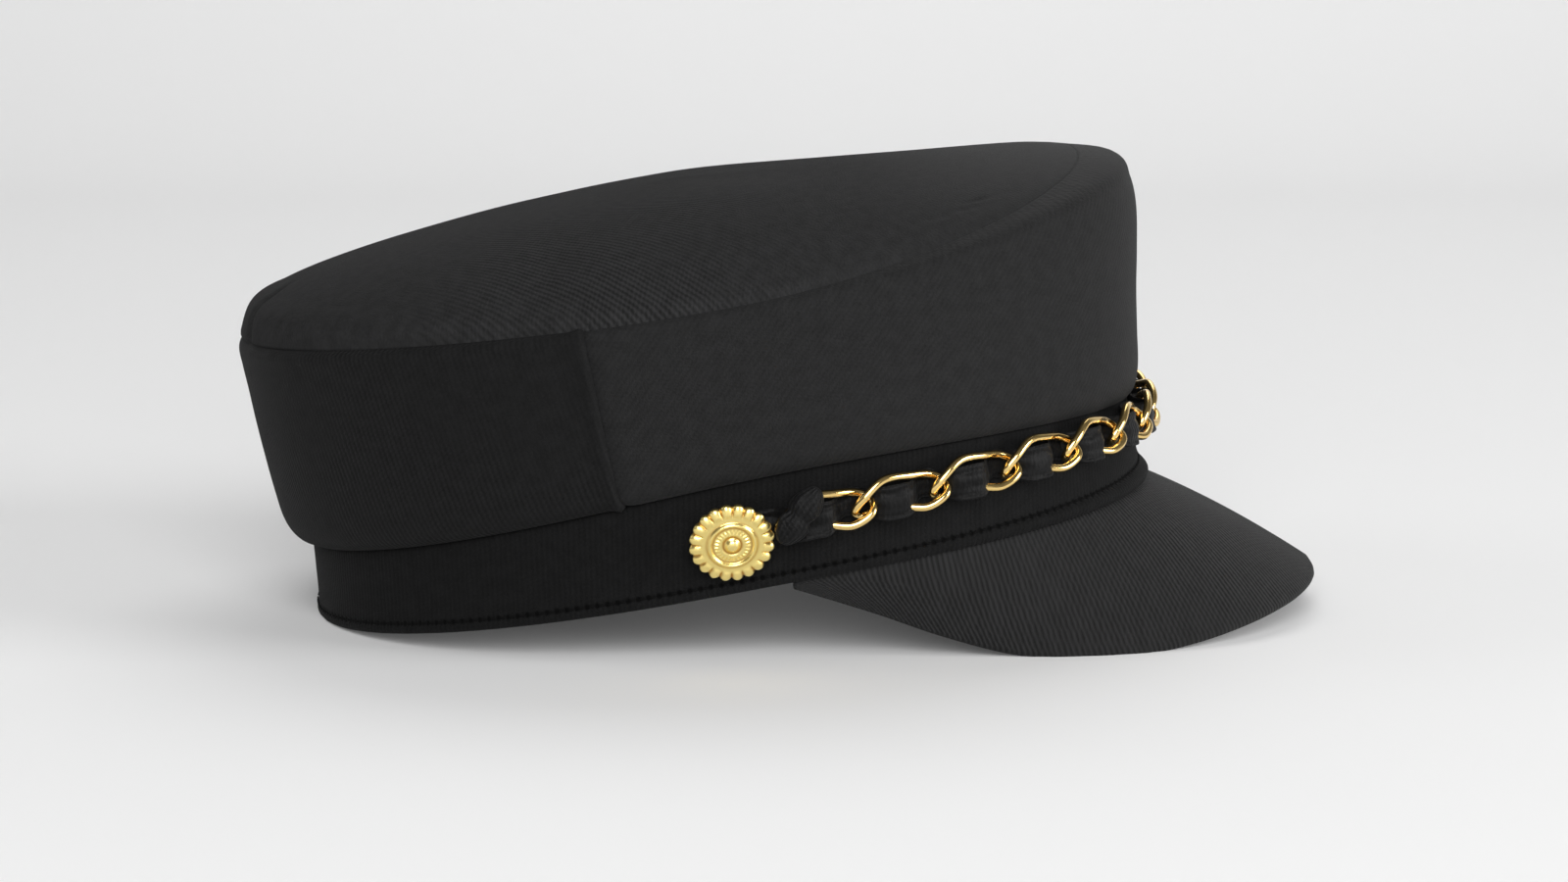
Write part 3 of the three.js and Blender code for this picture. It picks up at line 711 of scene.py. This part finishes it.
def closed_curve(points, steps):
    """A smooth closed curve through points, with its steps evenly spaced."""
    points = np.asarray(points, float)
    t = np.linspace(0, 1, 40, endpoint=False)[:, None]
    before, here, after, later = (np.roll(points, -k, axis=0)[:, None] for k in (-1, 0, 1, 2))
    curve = 0.5 * (
        2 * here
        + (after - before) * t
        + (2 * before - 5 * here + 4 * after - later) * t**2
        + (3 * here - before - 3 * after + later) * t**3
    )
    curve = curve.reshape(-1, 3)
    ends = np.concatenate([curve, curve[:1]])
    lengths = np.concatenate([[0], np.cumsum(np.linalg.norm(np.diff(ends, axis=0), axis=1))])
    places = np.linspace(0, lengths[-1], steps, endpoint=False)
    return np.stack([np.interp(places, lengths, ends[:, k]) for k in range(3)], -1)


def wire_rings(centres, radius, sides):
    """Rings round a closed centre line."""
    tangents = unit(np.roll(centres, -1, axis=0) - np.roll(centres, 1, axis=0))
    outward = unit(np.array([0, 0, 1]) - tangents * tangents[:, 2:3])
    side = np.cross(tangents, outward)
    spin = np.linspace(0, 2 * math.pi, sides, endpoint=False)[None, :, None]
    return centres[:, None] + radius * (outward[:, None] * np.sin(spin) - side[:, None] * np.cos(spin))


def link_distance(k):
    distance = (k - (link_count - 1) / 2) * link_pitch
    return distance - (math.copysign(end_link_slack, distance) if k in (0, link_count - 1) else 0)


link_points = np.stack([link_rows[key] for key in ("along", "up", "out")], -1)
link_line = closed_curve(link_points * (link_half_length, link_half_width, link_rise), 110)
link_rings = wire_rings(link_line, wire_diameter / 2, 16)
for k in range(link_count):
    swept(f"gold_link_{k + 1:02d}", link_rings, True, gold, [f"chain_link_{k + 1:02d}"],
          frame_matrix=route_frame(link_distance(k)))

# Ribbon: it runs behind each joint and comes up over the lower strand of each link.
ribbon_back = -(link_depth + gap + ribbon_thickness / 2)
ribbon_rows = {
    "at": (-0.5, -0.42, -0.34, -0.22, -0.05, 0.08, 0.18, 0.27, 0.37, 0.5),
    "depth": (0, 0.08, 0.5, 0.9, 1, 1, 0.8, 0.35, 0.04, 0),
    "shift": (0.5, 0.0, -0.5, -0.9, -1.1, -1.1, -0.7, 0.1, 0.5, 0.5),
    "width": (3.4, 3.3, 3.6, 3.9, 4.0, 3.9, 3.3, 2.8, 3.0, 3.4),
}
ribbon_front = 1.5
button_distance = link_distance(link_count - 1) + link_half_length + button_from_link
ribbon_half_length = button_distance - 1.6 * shank_radius - gap
last_joint = (link_count / 2 - 1) * link_pitch
ribbon_sides = 40
ribbon_slope = 5
knot_distance = link_distance(link_count - 1) + knot_shift


def ribbon_ring(distance):
    """At both end links the ribbon stays over the lower strand as far as the knot."""
    at = distance % link_pitch / link_pitch - 0.5
    depth_share = table_value(ribbon_rows, "depth", at)
    if abs(distance) > last_joint:
        at = min(0.5 - (abs(distance) - last_joint) / link_pitch, 0.5)
        at = max(at, -0.1) if distance < 0 else min(-at, 0.1)
        past_knot = np.clip((abs(distance) - knot_distance) / ribbon_slope, 0, 1)
        depth_share = table_value(ribbon_rows, "depth", at) * (1 - past_knot**2 * (3 - 2 * past_knot))
    depth = ribbon_back + depth_share * (ribbon_front - ribbon_back)
    shift = table_value(ribbon_rows, "shift", at)
    width = table_value(ribbon_rows, "width", at)
    spin = np.linspace(0, 2 * math.pi, ribbon_sides, endpoint=False)
    y = width * rounded_power(np.cos(spin), 0.8)
    fold = 0.24 * np.cos(y * 1.5 + 0.9 * math.sin(distance * 0.5)) + 0.05 * np.cos(y * 3.7 + distance * 0.9)
    z = ribbon_thickness / 2 * rounded_power(np.sin(spin), 0.8) + fold
    ring = stacked(0, shift + y, depth + z)
    matrix = route_frame(distance)
    return ring @ matrix[:3, :3].T + matrix[:3, 3]


ribbon_steps = np.linspace(-ribbon_half_length, ribbon_half_length, 900)
ribbon_rings = [ribbon_ring(d) for d in ribbon_steps]
ribbon_uv = stacked(ribbon_steps[:, None], np.arange(ribbon_sides)[None, :] * 0.3, 0)[..., :2]
swept("ribbon_cloth", ribbon_rings, False, ribbon_cloth, ["chain_ribbon"], uv=ribbon_uv)

# Knots over the end links
knot_steps, knot_sides = 90, 48
knot_over_link = link_rise + wire_diameter / 2 + gap + knot_size[2] / 2
for name, side in (("right", -1), ("left", 1)):
    t = np.linspace(-1, 1, knot_steps)
    spin = np.linspace(0, 2 * math.pi, knot_sides, endpoint=False)
    swell = np.sqrt(np.maximum(1 - np.abs(t) ** 2.4, 0)) * (1 - 0.22 * hump(t, -0.05, 0.16))
    folds = 1 + 0.06 * np.cos(5 * spin[None, :] + 5 * t[:, None]) * (1 - t[:, None] ** 2)
    rings = stacked(
        t[:, None] * knot_size[0] / 2,
        folds * swell[:, None] * np.cos(spin) * knot_size[1] / 2,
        folds * swell[:, None] * np.sin(spin) * knot_size[2] / 2,
    )
    lifted = Matrix.Translation((0, knot_lift, knot_over_link - knot_sink[name]))
    local = np.array(lifted @ Matrix.Rotation(-side * knot_angle, 4, "Z"))
    flat = stacked(t[:, None] * knot_size[0] / 2, np.arange(knot_sides)[None, :] * 0.4, 0)[..., :2]
    swept(f"knot_{name}", rings, False, ribbon_cloth, [f"ribbon_knot_{name}"], uv=flat,
          frame_matrix=route_frame(side * knot_distance) @ local)

# Buttons
button_rows = {
    "at": (0, 0.06, 0.12, 0.17, 0.22, 0.27, 0.33, 0.42, 0.47, 0.51, 0.55, 0.6, 0.7, 0.78, 0.9, 0.97, 1),
    "height": (1, 0.98, 0.9, 0.74, 0.66, 0.72, 0.7, 0.66, 0.68, 0.82, 0.8, 0.64, 0.6, 0.62, 0.54, 0.42, 0.3),
}
flute_height, grain_height, grain_count = 0.75, 0.12, 26
button_stand_off = button_radius * math.sin(button_droop) + button_clearance


def button_frame(side):
    angle = np.interp(side * button_distance, route_lengths, route_angles)
    centre = on_headband(angle, button_height, button_stand_off)
    outward = unit(on_headband(angle, button_height, button_stand_off + 1) - centre)
    along = unit(np.cross([0, 0, 1], outward))
    facing = np.array(Matrix.Rotation(button_droop, 3, Vector(along)) @ Vector(outward))
    matrix = np.eye(4)
    matrix[:3, 0], matrix[:3, 1], matrix[:3, 2] = along, np.cross(facing, along), facing
    matrix[:3, 3] = centre
    return matrix


def button_rings(shank):
    """Rings of the button from its middle to the end of its shank, and the painted shade that darkens its
    hollows.
    """
    turns = np.linspace(0, 2 * math.pi, flute_count * 16, endpoint=False)
    flute = np.abs(np.cos(turns * flute_count / 2))
    share = np.concatenate([np.linspace(0.01, 0.6, 60), np.linspace(0.6, 1, 30)[1:]])[:, None]
    fluted = np.clip((share - 0.7) / 0.1, 0, 1)
    grains = np.cos(turns * grain_count) * hump(share, 0.37, 0.05)
    height = button_thickness * table_value(button_rows, "height", share) + grain_height * grains
    height += fluted * flute_height * (np.sqrt(flute) - 0.75)
    reach = button_radius * share * (1 - flute_depth * (1 - flute) * np.clip((share - 0.8) / 0.2, 0, 1))
    rings = hump(share, 0.21, 0.03) + 0.8 * hump(share, 0.45, 0.025) + 0.5 * hump(share, 0.6, 0.03)
    hollow_shade = np.clip(rings + fluted * np.clip(1 - 1.6 * flute, 0, 1), 0, 1)
    face = stacked(reach * np.cos(turns), reach * np.sin(turns), height)
    rim = reach[-1] * 0.97
    back = [stacked(rim * np.cos(turns), rim * np.sin(turns), 0.0)]
    for radius, depth in ((shank_radius, 0.0), (shank_radius, -shank)):
        back.append(stacked(radius * np.cos(turns), radius * np.sin(turns), depth))
    hollow_shade = np.concatenate([hollow_shade, np.zeros((3, len(turns)))])
    return np.concatenate([face, np.array(back)]), stacked(hollow_shade, 0, 0)[..., :2]


shank_length = (button_stand_off - gap - shank_radius * math.sin(button_droop)) / math.cos(button_droop)
button_surface, button_hollow_shade = button_rings(shank_length)
for name, side in (("right", -1), ("left", 1)):
    swept(f"gold_button_{name}", button_surface, False, button_gold, [f"button_{name}"],
          uv=button_hollow_shade, frame_matrix=button_frame(side))

# Camera
camera_data = bpy.data.cameras.new("camera")
camera_data.lens = 88.23
camera_data.sensor_width = 36
camera = bpy.data.objects.new("camera", camera_data)
bpy.context.scene.collection.objects.link(camera)
camera.location = (-0.9347, 0.07228, 0.17776)
target = Vector((0, -0.00008, 0.03927))
camera_roll = Matrix.Rotation(0.3 * DEG, 4, "Z")
aim = (target - camera.location).to_track_quat("-Z", "Y").to_matrix().to_4x4()
camera.rotation_euler = (aim @ camera_roll).to_euler()
bpy.context.scene.camera = camera

# Floor: a flat sheet that sweeps up behind the hat, glowing faintly: painted light that lifts the shadows
# under the hat
floor_nodes = Nodes("floor_paper")
floor_nodes.set(Base_Color=(0.78, 0.78, 0.78, 1), Roughness=0.9, Specular_IOR_Level=0.1)
floor_nodes.set(Emission_Color=(1, 1, 1, 1), Emission_Strength=0.057)
sweep_start, sweep_radius, wall_top = 1.2, 0.8, 3.0
bend = np.linspace(0, math.pi / 2, 25)
profile = [(-3.0, 0.0)]
profile += [(sweep_start + sweep_radius * math.sin(t), sweep_radius * (1 - math.cos(t))) for t in bend]
profile += [(sweep_start + sweep_radius, wall_top)]
floor_mesh = bpy.data.meshes.new("floor")
corners = [(x, y, z) for x, z in profile for y in (-4.0, 4.0)]
floor_mesh.from_pydata(corners, [], grid_faces(len(profile), 2, False, False))
for face in floor_mesh.polygons:
    face.use_smooth = True
floor = bpy.data.objects.new("floor", floor_mesh)
bpy.context.scene.collection.objects.link(floor)
floor_mesh.materials.append(floor_nodes.material)


# Light
def area_light(name, position, aim, size, power):
    data = bpy.data.lights.new(name, "AREA")
    data.shape = "DISK"
    data.size = size
    data.energy = power
    light = bpy.data.objects.new(name, data)
    light.location = position
    light.rotation_euler = (Vector(aim) - light.location).to_track_quat("-Z", "Y").to_euler()
    bpy.context.scene.collection.objects.link(light)


light_aim = (0, 0, 0.05)
area_light("front", (-0.9, -2.0, 0.6), light_aim, 1.2, 38)
area_light("camera_side", (-2.2, 0.1, 1.0), light_aim, 1.6, 54)
area_light("back", (0, 2.2, 1.4), light_aim, 1.4, 7.5)
area_light("top", (1.2, -0.3, 1.8), light_aim, 1.6, 12.7)
world = bpy.data.worlds.new("studio")
world.use_nodes = True
world.node_tree.nodes["Background"].inputs["Color"].default_value = (1, 1, 1, 1)
world.node_tree.nodes["Background"].inputs["Strength"].default_value = 0.12
bpy.context.scene.world = world
bpy.context.scene.view_settings.view_transform = "Standard"
